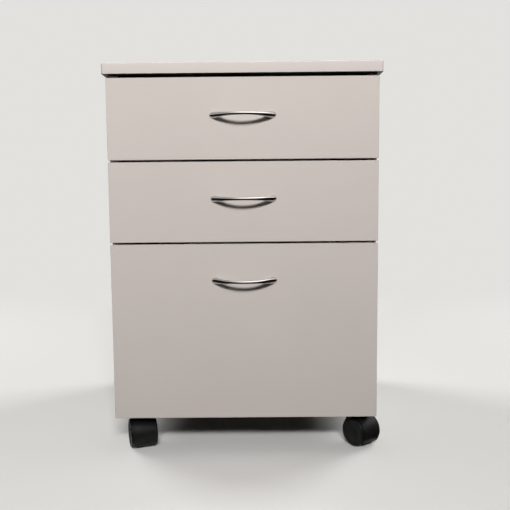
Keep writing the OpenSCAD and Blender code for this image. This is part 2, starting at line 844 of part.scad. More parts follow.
// Half of a wheel's cross-section: radius along X, inner face at Y = 0, outer face at Y = wheel_w.
module wheel_profile() {
    dish_w = (wheel_dish_d - wheel_hub_d) / 2;
    difference() {
        union() {
            square([wheel_r - wheel_fillet, wheel_w]);
            translate([0, wheel_fillet]) square([wheel_r, wheel_w - 2 * wheel_fillet]);
            for (y = [wheel_fillet, wheel_w - wheel_fillet])
                translate([wheel_r - wheel_fillet, y]) circle(r = wheel_fillet);
        }
        translate([wheel_hub_d / 2, wheel_w - wheel_dish_t]) square([dish_w, wheel_dish_t + cut]);
        translate([wheel_hub_d / 2, -cut]) square([dish_w, wheel_recess + cut]);
        translate([-cut, -cut]) square([axle_d / 2 + turn_gap + cut, axle_depth + cut]);
        translate([-wheel_r, -cut]) square([wheel_r, wheel_w + 2 * cut]);
    }
}

// side is -1 for the left wheel and 1 for the right wheel, seen along the trail from the front.
module castor_wheel(i, side) {
    color(castor_black) at_castor(i)
        translate([castor_trail, side * (web_t / 2 + wheel_gap), wheel_r]) rotate([-90 * side, 0, 0])
            rotate_extrude($fn = 72) wheel_profile();
}

// Drawing

top_panel();
left_side_panel();
right_side_panel();
back_panel();
bottom_panel();
cam_locks();
cam_bolts();
wood_dowels();
runner_screws();
for (i = [0 : 2]) {
    drawer_front(i);
    drawer_handle(i);
    drawer_screws(i);
    drawer_left_side(i);
    drawer_right_side(i);
    drawer_back(i);
    drawer_base(i);
}
for (i = [0, 1]) {
    cabinet_runners(i);
    cabinet_rollers(i);
    drawer_rollers(i);
}
file_slide_outer_members();
file_slide_middle_members();
file_slide_inner_members();
file_slide_outer_balls();
file_slide_inner_balls();
file_hanging_rails();
castor_plates();
castor_screws();
for (i = [0 : 3]) {
    castor_housing(i);
    castor_axle(i);
    castor_wheel(i, -1);
    castor_wheel(i, 1);
}
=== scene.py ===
"""Dresses the rolling pedestal cabinet: edge-banded boards, bow handles, hooded castors,
steel drawer boxes, small fittings and a plain studio stage."""

import json
import math

import bmesh
import bpy
import numpy as np
from mathutils import Matrix, Vector


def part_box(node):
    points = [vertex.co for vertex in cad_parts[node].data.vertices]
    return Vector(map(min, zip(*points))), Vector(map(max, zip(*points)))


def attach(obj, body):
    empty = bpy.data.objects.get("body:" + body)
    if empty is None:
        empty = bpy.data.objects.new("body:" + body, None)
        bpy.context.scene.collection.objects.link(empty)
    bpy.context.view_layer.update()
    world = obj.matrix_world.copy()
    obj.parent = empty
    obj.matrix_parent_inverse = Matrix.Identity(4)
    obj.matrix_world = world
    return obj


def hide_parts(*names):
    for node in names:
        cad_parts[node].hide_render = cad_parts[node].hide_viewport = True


bl_info = {
    "name": "Rolling pedestal cabinet",
    "version": (1, 0, 0),
    "blender": (4, 5, 0),
    "location": "3D View > Sidebar > Pedestal",
    "description": "Dresses the frame of a rolling pedestal cabinet with boards, fittings and finishes",
    "category": "Object",
}

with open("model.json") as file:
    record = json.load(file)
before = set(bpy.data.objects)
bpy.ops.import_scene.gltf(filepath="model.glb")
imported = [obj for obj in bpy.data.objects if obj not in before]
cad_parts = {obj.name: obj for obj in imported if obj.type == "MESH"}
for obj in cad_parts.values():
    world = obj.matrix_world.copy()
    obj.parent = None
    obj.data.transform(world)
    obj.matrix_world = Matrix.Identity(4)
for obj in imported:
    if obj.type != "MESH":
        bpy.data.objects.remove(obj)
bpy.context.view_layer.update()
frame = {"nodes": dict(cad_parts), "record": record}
JOINTS = {joint["name"]: joint for joint in frame["record"]["behaviour"]["joints"]}

DRAWERS = ("top_drawer", "middle_drawer", "file_drawer")
CASTORS = ("front_left_castor", "front_right_castor", "rear_left_castor", "rear_right_castor")
MM = 0.001
TAU = 2 * math.pi
QUARTER = math.pi / 2
X_AXIS, Y_AXIS, Z_AXIS = 0, 1, 2
UP = (0, 0, 1)
WHITE = (1, 1, 1)
SENSOR_WIDTH = 36


def linear(red, green, blue):
    """Turns display values from 0 to 255 into the linear colour that a shader takes, by the sRGB curve."""
    toe_end, toe_slope, offset, power = 0.04045, 12.92, 0.055, 2.4
    shares = np.array((red, green, blue)) / 255
    low = shares / toe_slope
    high = ((shares + offset) / (1 + offset)) ** power
    return tuple(float(v) for v in np.where(shares <= toe_end, low, high))


# Properties


def number(name, description, default, **kind):
    """A plain number, or one of a kind if a unit or subtype is given."""
    return bpy.props.FloatProperty(name=name, description=description, default=default, **kind)


def length(name, description, default):
    """A length in metres, given here in millimetres."""
    return number(name, description, default * MM, min=0, unit="LENGTH", subtype="DISTANCE")


def angle(name, description, default):
    """An angle, given here in degrees."""
    return number(name, description, math.radians(default), subtype="ANGLE")


def colour(name, description, default):
    """A colour, given here in display values from 0 to 255."""
    return bpy.props.FloatVectorProperty(
        name=name, description=description, default=linear(*default), min=0, max=1, size=3, subtype="COLOR"
    )


class PEDESTAL_PG_boards(bpy.types.PropertyGroup):
    """Sizes and colours of the boards."""

    arris: length("Arris", "Radius of the rounded edges of the banded boards", 0.25)
    top_arris: length("Top arris", "Radius of the upper edges of the top", 2.2)
    box_arris: length("Drawer board arris", "Radius of the edges of the drawer bases and backs", 0.5)
    seam: length("Seam", "Width of the line between the board's face and its edge band", 0.2)
    face: colour("Board face", "Colour of the melamine faces", (207, 198, 192))
    band: colour("Edge band", "Colour of the edge bands", (210, 201, 196))
    seam_line: colour("Seam line", "Colour of the line between face and band", (176, 167, 160))
    # The dark sheet under the top is painted shade: it darkens the gap under the top as shade would.
    painted_shade: colour("Backing", "Colour of the backing sheet under the top", (34, 30, 28))
    drawer_face: colour("Drawer board", "Colour of the drawer bases and backs", (222, 219, 213))


class PEDESTAL_PG_handles(bpy.types.PropertyGroup):
    """Sizes, form and finish of the bow handles."""

    pitch: length("Screw pitch", "Distance between the screws of a handle", 96)
    bow: length("Bow", "Reach of the bow's centre line from the front", 26)
    middle_height: length("Middle height", "Height of the bow in its middle", 5.3)
    middle_depth: length("Middle depth", "Depth of the bow in its middle", 5)
    foot_height: length("Foot height", "Height of a foot", 11)
    foot_width: length("Foot width", "Width of a foot", 15)
    rise: number("Rise", "Power of the sine that the bow's reach follows", 1.55)
    tilt: number("Tilt", "Power of the sine that the section's turn follows", 3)
    toe: number("Toe", "Power of the cosine that the feet's width follows", 12)
    flare: number("Flare", "Power of the cosine that the feet's height follows", 3)
    plate: colour("Chrome", "Colour of the chrome plate", (198, 197, 195))


class PEDESTAL_PG_castors(bpy.types.PropertyGroup):
    """Sizes and colours of the castors."""

    wheel_width: length("Wheel width", "Width of one wheel", 16)
    web: length("Web", "Thickness of the housing between the wheels", 12)
    wheel_gap: length("Wheel gap", "Space between a wheel and the web", 1)
    hood_width: length("Hood width", "Width of the hood over the wheels", 37)
    hood_gap: length("Hood gap", "Space between the wheels and the hood", 0.8)
    hood_wall: length("Hood wall", "Thickness of the hood", 1.5)
    boss: length("Boss", "Diameter of the swivel boss", 22)
    axle: length("Axle", "Diameter of the axle", 6)
    plate: length("Plate", "Thickness of the castor plate", 2)
    plate_gap: length("Plate gap", "Space between the boss and the castor plate", 0.5)
    nylon: colour("Castor nylon", "Colour of the hoods and wheels", (19, 19, 19))
    dust: colour("Dust", "Colour of the dust on the treads", (50, 48, 46))


class PEDESTAL_PG_fittings(bpy.types.PropertyGroup):
    """Sizes and colours of the drawer boxes and small fittings."""

    buffer: length("Buffer", "Diameter of the buffers behind the drawer fronts", 9)
    buffer_drop: length("Buffer drop", "Distance of the buffers from the upper edge of a front", 30)
    buffer_share: number("Buffer share", "Height of a buffer as a share of the gap behind the fronts", 0.9)
    epoxy: colour("Epoxy coat", "Colour of the steel drawer sides and roller runners", (168, 170, 170))
    zinc: colour("Zinc", "Colour of the plated slides, plates and screws", (196, 199, 203))
    roller: colour("Roller nylon", "Colour of the runner rollers", (232, 231, 226))
    beech: colour("Beech", "Colour of the dowels", (205, 168, 118))
    rail: colour("Rail plastic", "Colour of the hanging rails", (44, 45, 47))
    silicone: colour("Buffer silicone", "Colour of the buffers", (214, 215, 212))


class PEDESTAL_PG_stage(bpy.types.PropertyGroup):
    """Camera, light and floor."""

    lens: number("Lens", "Focal length on a 36 mm wide sensor", 44.47, min=1, unit="CAMERA")
    yaw: angle("Yaw", "Turn of the camera to the right", -0.2756)
    pitch: angle("Pitch", "Downward tilt of the camera", 5.375)
    roll: angle("Roll", "Roll of the camera", -0.5113)
    eye: bpy.props.FloatVectorProperty(
        name="Eye",
        description="Place of the camera, from the middle of the lowest front edge",
        default=(0.02337, -1.05541, 0.38043),
        size=3,
        subtype="TRANSLATION",
    )
    floor: colour("Floor", "Colour of the floor", (226, 225, 222))
    backdrop: colour("Backdrop", "Colour seen behind the object", (226, 225, 222))
    bounce: colour("Bounce", "Colour of the light that the floor throws at the object", (42, 41, 40))
    ceiling: colour("Ceiling", "Colour that reflections see high above", (180, 180, 178))
    ceiling_start: number("Ceiling start", "Sine of the elevation at which the backdrop darkens", 0.35)
    ceiling_end: number("Ceiling end", "Sine of the elevation at which the ceiling is reached", 0.75)
    bright_side: number("Bright side", "Strength of the ceiling in front and to the right", 2.1, min=0)
    bright_start: number("Bright start", "X part of the direction at which the bright side starts", -0.6)
    bright_end: number("Bright end", "X part of the direction at which the bright side is full", -0.1)
    bright_rise: number("Bright rise", "Rise of the elevation's sine over which the side brightens", 0.15)
    flag: colour("Flag", "Colour of the dark card that the chrome reflects", (19, 18, 17))
    flag_height: length("Flag height", "Height of the dark card's wall", 1200)
    fade_start: length("Fade start", "Distance at which the floor starts to fade into the backdrop", 700)
    fade_end: length("Fade end", "Distance at which the floor has the backdrop's colour", 2200)
    key_power: number("Key", "Power of the front lamp", 102, unit="POWER")
    overhead_power: number("Overhead", "Power of the overhead lamp", 4, unit="POWER")
    fill_power: number("Fill", "Power of each lamp behind the sides", 56, unit="POWER")
    ambient: number("Ambient", "Strength of the even light", 0.018, min=0)


# Surfaces

# Shares that a board's points carry, for the finish to tell face, seam and band apart
ON_FACE, ON_SEAM, ON_BAND = 0.0, 0.5, 1.0
# Radius at which a turned form is closed in its middle
POLE = 0.02 * MM


def quads(rows, columns):
    """Faces between neighbouring closed rings of equal point count, as an array of corner numbers."""
    first = np.arange(rows - 1)[:, None] * columns
    here = np.arange(columns)[None, :]
    after = (here + 1) % columns
    corners = (first + here, first + after, first + columns + after, first + columns + here)
    return np.stack(corners, axis=-1).reshape(-1, 4)


class Shell:
    """Closed ring stacks gathered into one mesh, with a named share between 0 and 1 for each point."""

    def __init__(self):
        self.points = []
        self.faces = []
        self.shares = []
        self.count = 0

    def add(self, rings, share=ON_FACE):
        """Adds rings of shape (rows, columns, 3) as one shell: walls between them, a face on each end."""
        rows, columns = rings.shape[:2]
        walls = quads(rows, columns) + self.count
        ends = np.arange(columns)
        last = ends + (rows - 1) * columns
        self.points.append(rings.reshape(-1, 3))
        self.faces += walls.tolist()
        self.faces.append((ends[::-1] + self.count).tolist())
        self.faces.append((last + self.count).tolist())
        row_shares = np.asarray(share, float).reshape(-1, 1)
        self.shares.append(np.broadcast_to(row_shares, (rows, columns)).reshape(-1))
        self.count += rows * columns

    def piece(self, name, skin, body, nodes=(), sharp=35):
        """Makes the mesh, turns its faces outwards, smooths it up to an angle, attaches it to its body and
        hides the frame's nodes that it replaces.
        """
        mesh = bpy.data.meshes.new(name)
        mesh.from_pydata(np.concatenate(self.points).tolist(), [], self.faces)
        work = bmesh.new()
        work.from_mesh(mesh)
        bmesh.ops.recalc_face_normals(work, faces=work.faces)
        work.to_mesh(mesh)
        work.free()
        mesh.polygons.foreach_set("use_smooth", np.ones(len(mesh.polygons), bool))
        mesh.set_sharp_from_angle(angle=math.radians(sharp))
        layer = mesh.attributes.new("band", "FLOAT", "POINT")
        layer.data.foreach_set("value", np.concatenate(self.shares))
        mesh.materials.append(skin)
        obj = bpy.data.objects.new(name, mesh)
        bpy.context.scene.collection.objects.link(obj)
        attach(obj, body)
        if nodes:
            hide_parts(*nodes)


def corner_turns(steps):
    """Signs and turns of the points round a rectangle: a quarter turn of points at each corner."""
    turns = np.tile(np.linspace(0, QUARTER, steps), 4) + np.repeat(np.arange(4), steps) * QUARTER
    return np.repeat((1, -1, -1, 1), steps), np.repeat((1, 1, -1, -1), steps), turns


def rounded_outline(half_a, half_b, radius, steps):
    """A rectangle with round corners: corner centres plus radius times (cos, sin) of the turn."""
    sign_a, sign_b, turns = corner_turns(steps)
    along_a = sign_a * (half_a - radius) + radius * np.cos(turns)
    along_b = sign_b * (half_b - radius) + radius * np.sin(turns)
    return np.stack((along_a, along_b), axis=-1)


def board_rim(arris, seam, steps):
    """Inset, depth and share of the rings from a board's face round one arris, a quarter circle.

    With a seam, two more rings lie on the face just inside the arris."""
    turn = np.linspace(0, QUARTER, steps)
    inset = arris * (1 - np.sin(turn))
    depth = arris * (1 - np.cos(turn))
    share = np.full(steps, ON_BAND)
    if seam:
        inset = np.concatenate(((arris + 2 * seam, arris + seam), inset))
        depth = np.concatenate(((0, 0), depth))
        share = np.concatenate(((ON_FACE, ON_SEAM, ON_SEAM), share[1:]))
    return inset, depth, share


def board_rings(low, high, across, arrises, seam=0.0, steps=7):
    """A board from its two corners: its rounded outline, drawn in by an inset, at heights across it.

    The insets follow the rims of both faces, the lower face's first. The second array is the share
    of each ring."""
    low, high = np.array(low), np.array(high)
    middle, half = (low + high) / 2, (high - low) / 2
    axis_a, axis_b = [axis for axis in range(3) if axis != across]
    inset_low, depth_low, share_low = board_rim(arrises[0], seam, steps)
    inset_high, depth_high, share_high = board_rim(arrises[1], seam, steps)
    insets = np.concatenate((inset_low, inset_high[::-1]))
    heights = np.concatenate((depth_low - half[across], half[across] - depth_high[::-1]))
    shares = np.concatenate((share_low, share_high[::-1]))
    spare = 0.5 * MM
    corner = max(arrises) + 3 * seam + spare
    sign_a, sign_b, turns = corner_turns(steps)
    radius = corner - insets[:, None]
    rings = np.zeros((len(insets), 4 * steps, 3))
    rings[:, :, axis_a] = middle[axis_a] + sign_a * (half[axis_a] - corner) + radius * np.cos(turns)
    rings[:, :, axis_b] = middle[axis_b] + sign_b * (half[axis_b] - corner) + radius * np.sin(turns)
    rings[:, :, across] = middle[across] + heights[:, None]
    return rings, shares


def round_axis(reach, height, turns):
    """Rings about the Z axis, from each ring's reach and height and the turns of its points."""
    height = np.broadcast_to(height, (len(reach), len(turns)))
    return np.stack((reach * np.cos(turns), reach * np.sin(turns), height), axis=-1)


def turned_rings(profile, steps):
    """A turned form: each profile point (radius, place on the axis) goes once round the axis, Z."""
    turns = np.linspace(0, TAU, steps, endpoint=False)
    return round_axis(profile[:, 0, None], profile[:, 1, None], turns)


def arc(centre, radius, start, end, steps):
    """Points of an arc: centre plus radius times (cos, sin) of a turn from start to end, in degrees."""
    turns = np.radians(np.linspace(start, end, steps))
    return np.array(centre) + radius * np.stack((np.cos(turns), np.sin(turns)), axis=-1)


def placed(points, origin, axis_x, axis_y, axis_z):
    """Points given along three directions from an origin, in the object's frame."""
    axes = np.array((axis_x, axis_y, axis_z), float)
    return np.array(origin) + points @ axes


# Finishes

# Sockets of a Mix node that mixes colours
MIX_SHARE, MIX_FIRST, MIX_SECOND, MIX_RESULT = 0, 6, 7, 2
# Lowest roughness of each plated or moulded finish
ZINC_ROUGH, BALL_ROUGH, ROLLER_ROUGH, RAIL_ROUGH, BUFFER_ROUGH = 0.3, 0.12, 0.38, 0.42, 0.3


class Graph:
    """A node tree with short ways to add nodes and to link them."""

    def __init__(self, tree, place):
        self.tree = tree
        self.place = self.node("ShaderNodeTexCoord").outputs[place]

    def node(self, kind, **values):
        """Adds a node. A value that is a socket is linked, any other one is set."""
        made = self.tree.nodes.new(kind)
        for key, value in values.items():
            if key.startswith("set_"):
                setattr(made, key.removeprefix("set_"), value)
        for key, value in values.items():
            if not key.startswith("set_"):
                self.put(made.inputs[key.replace("_", " ")], value)
        return made

    def put(self, socket, value):
        """Links a socket to another one or sets its value; a colour gets an alpha of 1."""
        if isinstance(value, bpy.types.NodeSocket):
            self.tree.links.new(value, socket)
        elif socket.type == "RGBA":
            socket.default_value = (*value, 1)
        else:
            socket.default_value = value

    def calculate(self, operation, *values):
        """The result of a Math node on the values."""
        made = self.node("ShaderNodeMath", set_operation=operation)
        for socket, value in zip(made.inputs, values):
            self.put(socket, value)
        return made.outputs["Value"]

    def part(self, axis):
        """One part of the place: X, Y or Z."""
        return self.node("ShaderNodeSeparateXYZ", Vector=self.place).outputs[axis]

    def span(self, value, low=0, high=1, start=0.3, end=0.7):
        """Carries a value from start..end to low..high, held at the ends."""
        ends = {"From_Min": start, "From_Max": end, "To_Min": low, "To_Max": high}
        return self.node("ShaderNodeMapRange", Value=value, **ends).outputs["Result"]

    def mix(self, share, first, second):
        """A colour between two, by a share from 0 to 1."""
        made = self.node("ShaderNodeMix", set_data_type="RGBA")
        self.put(made.inputs[MIX_SHARE], share)
        self.put(made.inputs[MIX_FIRST], first)
        self.put(made.inputs[MIX_SECOND], second)
        return made.outputs[MIX_RESULT]

    def seen(self, rays):
        """A share of 1 for rays of the camera, of reflections and through clear things, 0 for others."""
        share = rays.outputs["Is Camera Ray"]
        for kind in ("Is Glossy Ray", "Is Transmission Ray"):
            share = self.calculate("MAXIMUM", share, rays.outputs[kind])
        return share

    def mix_shaders(self, share, first, second, output):
        """Puts a mix of two shaders on an output node."""
        made = self.node("ShaderNodeMixShader")
        for socket, value in zip(made.inputs, (share, first.outputs[0], second.outputs[0])):
            self.put(socket, value)
        self.put(self.tree.nodes[output].inputs["Surface"], made.outputs["Shader"])


class Finish(Graph):
    """A procedural material on Object coordinates, built node by node around one Principled shader."""

    def __init__(self, name):
        self.material = bpy.data.materials.new(name)
        self.material.use_nodes = True
        super().__init__(self.material.node_tree, "Object")
        self.shader = self.tree.nodes["Principled BSDF"]

    def noise(self, scale, detail=3.0, roughness=0.55, stretch=(1, 1, 1), distortion=0.0):
        """Noise with about scale lumps a metre, stretched along an axis if asked."""
        place = self.node("ShaderNodeMapping", Vector=self.place, Scale=stretch).outputs["Vector"]
        kind = {"Scale": scale, "Detail": detail, "Roughness": roughness, "Distortion": distortion}
        return self.node("ShaderNodeTexNoise", Vector=place, **kind).outputs["Fac"]

    def blotched(self, base, scale, detail, low, high):
        """A colour that wanders, with noise, between a low and a high factor of it."""
        share = self.span(self.noise(scale, detail))
        return self.mix(share, tint(base, low), tint(base, high))

    def bump(self, height, strength, depth=0.2):
        """A bump of a given depth in millimetres."""
        made = self.node("ShaderNodeBump", Height=height, Strength=strength, Distance=depth * MM)
        return made.outputs["Normal"]

    def shade(self, **values):
        """Sets the shader's sockets and returns the material."""
        for key, value in values.items():
            self.put(self.shader.inputs[key.replace("_", " ")], value)
        return self.material


def tint(base, factor):
    """A colour made lighter or darker by a factor."""
    return tuple(min(1.0, float(part) * factor) for part in base)


def banded_board(name, face, band, line, painted_shade=None, underside=0.0):
    """Melamine: faint clouding, a fine pebbled print, and a band along the edges.

    The optional dark sheet on the face at the underside's height is painted shade, which darkens the gap
    under the top."""
    made = Finish(name)
    fleck = made.span(made.noise(scale=700, detail=3, roughness=0.65), high=0.6)
    body = made.blotched(face, scale=7, detail=4, low=0.98, high=1.02)
    body = made.mix(fleck, body, tint(face, 0.94))
    # A dark sheet on the underside paints shade into the gap under the top.
    if painted_shade:
        sheet_start, sheet_end = underside + 0.05 * MM, underside + 0.15 * MM
        under = made.span(made.part("Z"), low=1, high=0, start=sheet_start, end=sheet_end)
        sheet = made.blotched(painted_shade, scale=300, detail=4, low=0.85, high=1.15)
        body = made.mix(under, body, sheet)
    edge = made.node("ShaderNodeAttribute", set_attribute_name="band").outputs["Fac"]
    on_band = made.span(edge, start=0.6, end=0.9)
    seam_reach = 0.3
    near_seam = made.calculate("COMPARE", edge, ON_SEAM, seam_reach)
    rim = made.blotched(band, scale=40, detail=3, low=1, high=0.985)
    skin = made.mix(near_seam, made.mix(on_band, body, rim), line)
    smear = made.noise(scale=16, detail=4, distortion=0.6)
    pebble = made.noise(scale=1000, detail=2, roughness=0.6)
    relief = made.bump(pebble, strength=0.22)
    rough = made.span(smear, low=0.40, high=0.52)
    return made.shade(Base_Color=skin, Roughness=rough, Normal=relief, IOR=1.5)


def drawer_board(name, face):
    """Smooth-faced chipboard of the drawer bases and backs: a pale print with a faint long grain."""
    made = Finish(name)
    grain = made.span(made.noise(scale=60, detail=4, stretch=(1, 0.06, 1)))
    scuff = made.span(made.noise(scale=11, detail=5, distortion=1.2), high=0.35, start=0.55, end=0.75)
    skin = made.mix(grain, tint(face, 0.96), tint(face, 1.01))
    skin = made.mix(scuff, skin, tint(face, 0.9))
    relief = made.bump(made.noise(scale=900, detail=2), strength=0.08)
    rough = made.span(grain, low=0.5, high=0.6, start=0, end=1)
    return made.shade(Base_Color=skin, Roughness=rough, Normal=relief)


def chrome_plate(name, base):
    """Chrome plate: near-mirror metal with a slight haze and hairline wipe marks."""
    made = Finish(name)
    haze = made.noise(scale=55, detail=4)
    wipes = made.noise(scale=2600, detail=2, stretch=(0.08, 1, 1))
    skin = made.mix(made.span(haze), tint(base, 0.97), base)
    relief = made.bump(wipes, strength=0.015, depth=0.05)
    rough = made.span(haze, low=0.05, high=0.11)
    return made.shade(Base_Color=skin, Metallic=1.0, Roughness=rough, Normal=relief)


def castor_nylon(name, base, dust):
    """Moulded black nylon: a fine spark texture, dull scuffs, and dust low on the treads."""
    made = Finish(name)
    dust_height = 30 * MM
    low = made.span(made.part("Z"), low=1, high=0, start=0, end=dust_height)
    patches = made.span(made.noise(scale=130, detail=5), start=0.42, end=0.7)
    dusty = made.span(made.calculate("MULTIPLY", low, patches), high=0.35, start=0, end=1)
    skin = made.mix(dusty, made.blotched(base, scale=420, detail=3, low=0.85, high=1.15), dust)
    relief = made.bump(made.noise(scale=2400, detail=2), strength=0.12)
    rough = made.span(made.noise(scale=70, detail=4), low=0.38, high=0.58)
    return made.shade(Base_Color=skin, Roughness=rough, Specular_IOR_Level=0.25, Normal=relief)


def epoxy_steel(name, base):
    """Powder-coated steel: an even grey with an orange-peel surface."""
    made = Finish(name)
    skin = made.blotched(base, scale=14, detail=4, low=0.95, high=1.04)
    relief = made.bump(made.noise(scale=850, detail=2), strength=0.12)
    rough = made.span(made.noise(scale=30, detail=3), low=0.36, high=0.46)
    return made.shade(Base_Color=skin, Roughness=rough, Normal=relief)


def zinc_plate(name, base, lowest):
    """Zinc-plated steel: metal with a faint spangle and drawn lines along the length."""
    made = Finish(name)
    cells = made.node("ShaderNodeTexVoronoi", Vector=made.place, Scale=260.0).outputs["Color"]
    tone = made.node("ShaderNodeSeparateColor", Color=cells).outputs["Red"]
    drawn = made.noise(scale=1800, detail=2, stretch=(1, 0.03, 1))
    skin = made.mix(tone, tint(base, 0.93), tint(base, 1.04))
    relief = made.bump(drawn, strength=0.05, depth=0.1)
    rough = made.span(tone, low=lowest, high=lowest + 0.1, start=0, end=1)
    return made.shade(Base_Color=skin, Metallic=1.0, Roughness=rough, Normal=relief)


def moulded_plastic(name, base, lowest):
    """Injection-moulded plastic: slight flow marks and a fine texture."""
    made = Finish(name)
    skin = made.blotched(base, scale=90, detail=3, low=0.94, high=1.03)
    relief = made.bump(made.noise(scale=1600, detail=2), strength=0.08)
    rough = made.span(made.noise(scale=60, detail=3), low=lowest, high=lowest + 0.12)
    return made.shade(Base_Color=skin, Roughness=rough, Normal=relief)


def turned_beech(name, base):
    """Beech dowels: short dark flecks on a pale grain."""
    made = Finish(name)
    grain = made.noise(scale=500, detail=4, stretch=(1, 1, 0.12))
    skin = made.mix(made.span(grain), tint(base, 0.82), tint(base, 1.06))
    rough = made.span(grain, low=0.55, high=0.68)
    return made.shade(Base_Color=skin, Roughness=rough, Normal=made.bump(grain, strength=0.2))


FINISHES = {}


def finish(name, maker, *values):
    """The finish of that name, made once."""
    if name not in FINISHES:
        FINISHES[name] = maker(name, *values)
    return FINISHES[name]


def board_finish(boards):
    """The finish of the boards that are banded all round."""
    return finish("melamine_board", banded_board, boards.face, boards.band, boards.seam_line)


def zinc_finish(fittings):
    """The finish of the plated slides, plates, axles and screws."""
    return finish("zinc_plate", zinc_plate, fittings.zinc, ZINC_ROUGH)


def coat(node, material):
    """Puts a finish on a solid of the frame that keeps its shape."""
    mesh = frame["nodes"][node].data
    mesh.materials.clear()
    mesh.materials.append(material)


# Operators


class PEDESTAL_OT_carcass(bpy.types.Operator):
    """Makes the top, the sides, the back and the bottom as boards with rounded edge bands"""

    bl_idname = "pedestal.carcass"
    bl_label = "Carcass boards"

    def execute(self, context):
        boards = context.scene.pedestal_boards
        across = {
            "top_panel": Z_AXIS,
            "left_side_panel": X_AXIS,
            "right_side_panel": X_AXIS,
            "back_panel": Y_AXIS,
            "bottom_panel": Z_AXIS,
        }
        for node, axis in across.items():
            low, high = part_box(node)
            arrises = (boards.arris, boards.arris)
            skin = board_finish(boards)
            if node == "top_panel":
                arrises = (boards.arris, boards.top_arris)
                # The top's underside carries a dark sheet of painted shade.
                colours = (boards.face, boards.band, boards.seam_line, boards.painted_shade)
                skin = finish("backed_board", banded_board, *colours, float(low[Z_AXIS]))
            shell = Shell()
            shell.add(*board_rings(low, high, axis, arrises, boards.seam))
            shell.piece(node.replace("_panel", "_board"), skin, "carcass", [node])
        return {"FINISHED"}


class PEDESTAL_OT_fronts(bpy.types.Operator):
    """Makes the three drawer fronts as boards with rounded edge bands"""

    bl_idname = "pedestal.fronts"
    bl_label = "Drawer fronts"

    def execute(self, context):
        boards = context.scene.pedestal_boards
        for drawer in DRAWERS:
            node = drawer + "_front"
            low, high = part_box(node)
            shell = Shell()
            shell.add(*board_rings(low, high, Y_AXIS, (boards.arris, boards.arris), boards.seam))
            shell.piece(node + "_board", board_finish(boards), drawer, [node])
        return {"FINISHED"}


def bow_rings(handles, foot_line, steps=121, sides=40):
    """A bow: an oval carried along an arch, which spreads into a flat foot at both ends.

    The centre line is half the pitch times cos(a) across and the bow times sin(a), to the power of the
    rise, outwards. The oval lies flat on the front at the feet, and its long axis turns outwards by the
    angle whose sine is sin(a) to the power of the tilt. From the middle to the feet its depth grows with
    |cos(a)| to the power of the toe and its height with |cos(a)| to the power of the flare."""
    a = np.linspace(0, math.pi, steps)[:, None]
    b = np.linspace(0, TAU, sides, endpoint=False)[None, :]
    sine, cosine = np.clip(np.sin(a), 0, 1), np.cos(a)
    outwards = sine**handles.tilt
    sideways = np.sign(cosine) * np.sqrt(1 - outwards**2)
    toe, flare = np.abs(cosine) ** handles.toe, np.abs(cosine) ** handles.flare
    half_d = (handles.middle_depth + (handles.foot_width - handles.middle_depth) * toe) / 2
    half_h = (handles.middle_height + (handles.foot_height - handles.middle_height) * flare) / 2
    off = half_d * np.cos(b)
    x = handles.pitch / 2 * cosine + sideways * off
    y = -handles.bow * sine**handles.rise - outwards * off
    z = half_h * np.sin(b)
    return np.stack((x, y, z), axis=-1) + np.array(foot_line)


class PEDESTAL_OT_handles(bpy.types.Operator):
    """Makes the chrome bow handles"""

    bl_idname = "pedestal.handles"
    bl_label = "Bow handles"

    def execute(self, context):
        handles = context.scene.pedestal_handles
        chrome = finish("chrome_plate", chrome_plate, handles.plate)
        for drawer in DRAWERS:
            low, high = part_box(drawer + "_handle")
            foot_line = ((low[0] + high[0]) / 2, high[1], (low[2] + high[2]) / 2)
            shell = Shell()
            shell.add(bow_rings(handles, foot_line))
            shell.piece(drawer + "_bow", chrome, drawer, [drawer + "_handle"], sharp=50)
        return {"FINISHED"}


def wheel_profile(radius, width, axle):
    """Half the section of a wheel, from the end of its bore round the tread to the middle of its cap.

    Straight lines and arcs in turn: bore, hub and recess on the web's side, a filleted tread with two
    shallow grooves, and a dished face with a raised hub cap."""
    fillet, rim, recess, cap = 3 * MM, 6.5 * MM, 4 * MM, 3 * MM
    bore, hub = axle / 2 + 0.05 * MM, axle / 2 + 4.5 * MM
    lip, dish, hub_round = 0.5 * MM, 1.2 * MM, 0.8 * MM
    groove, groove_rows, tread_rows = 0.35 * MM, (8, 16), 25
    hub_top = width - 0.2 * MM
    cap_r, cap_rise, cap_peak = 0.55 * hub, hub_top + 0.1 * MM, hub_top + 0.15 * MM
    dish_r = radius - rim
    bore_end = width - cap
    bore_side = ((POLE, bore_end), (bore, bore_end), (bore, 0), (hub, 0))
    recess_side = ((hub, recess), (dish_r, recess), (dish_r, 0))
    places = np.linspace(fillet, width - fillet, tread_rows)
    marks = np.where(np.isin(np.arange(tread_rows), groove_rows), groove, 0)
    tread = np.stack((radius - marks, places), axis=-1)
    return np.concatenate((
        bore_side,
        recess_side,
        arc((radius - fillet, fillet), fillet, -90, 0, 8),
        tread[1:-1],
        arc((radius - fillet, width - fillet), fillet, 0, 90, 8),
        arc((dish_r + lip, width - lip), lip, 90, 180, 4),
        arc((dish_r - dish, width), dish, 0, -90, 6),
        arc((hub + dish, width), dish, 270, 190, 6),
        arc((hub - hub_round, hub_top - hub_round), hub_round, 0, 90, 4),
        ((cap_r, cap_rise), (POLE, cap_peak)),
    ))


# Turns about the axle at which the hood starts and ends, in degrees
HOOD_START, HOOD_END = -45, 190


def about_axle(reach, across, turns):
    """Rings about the Y axis, from each point's reach, place along the axis and turn."""
    across = np.broadcast_to(across, reach.shape)
    return np.stack((reach * np.cos(turns), across, reach * np.sin(turns)), axis=-1)


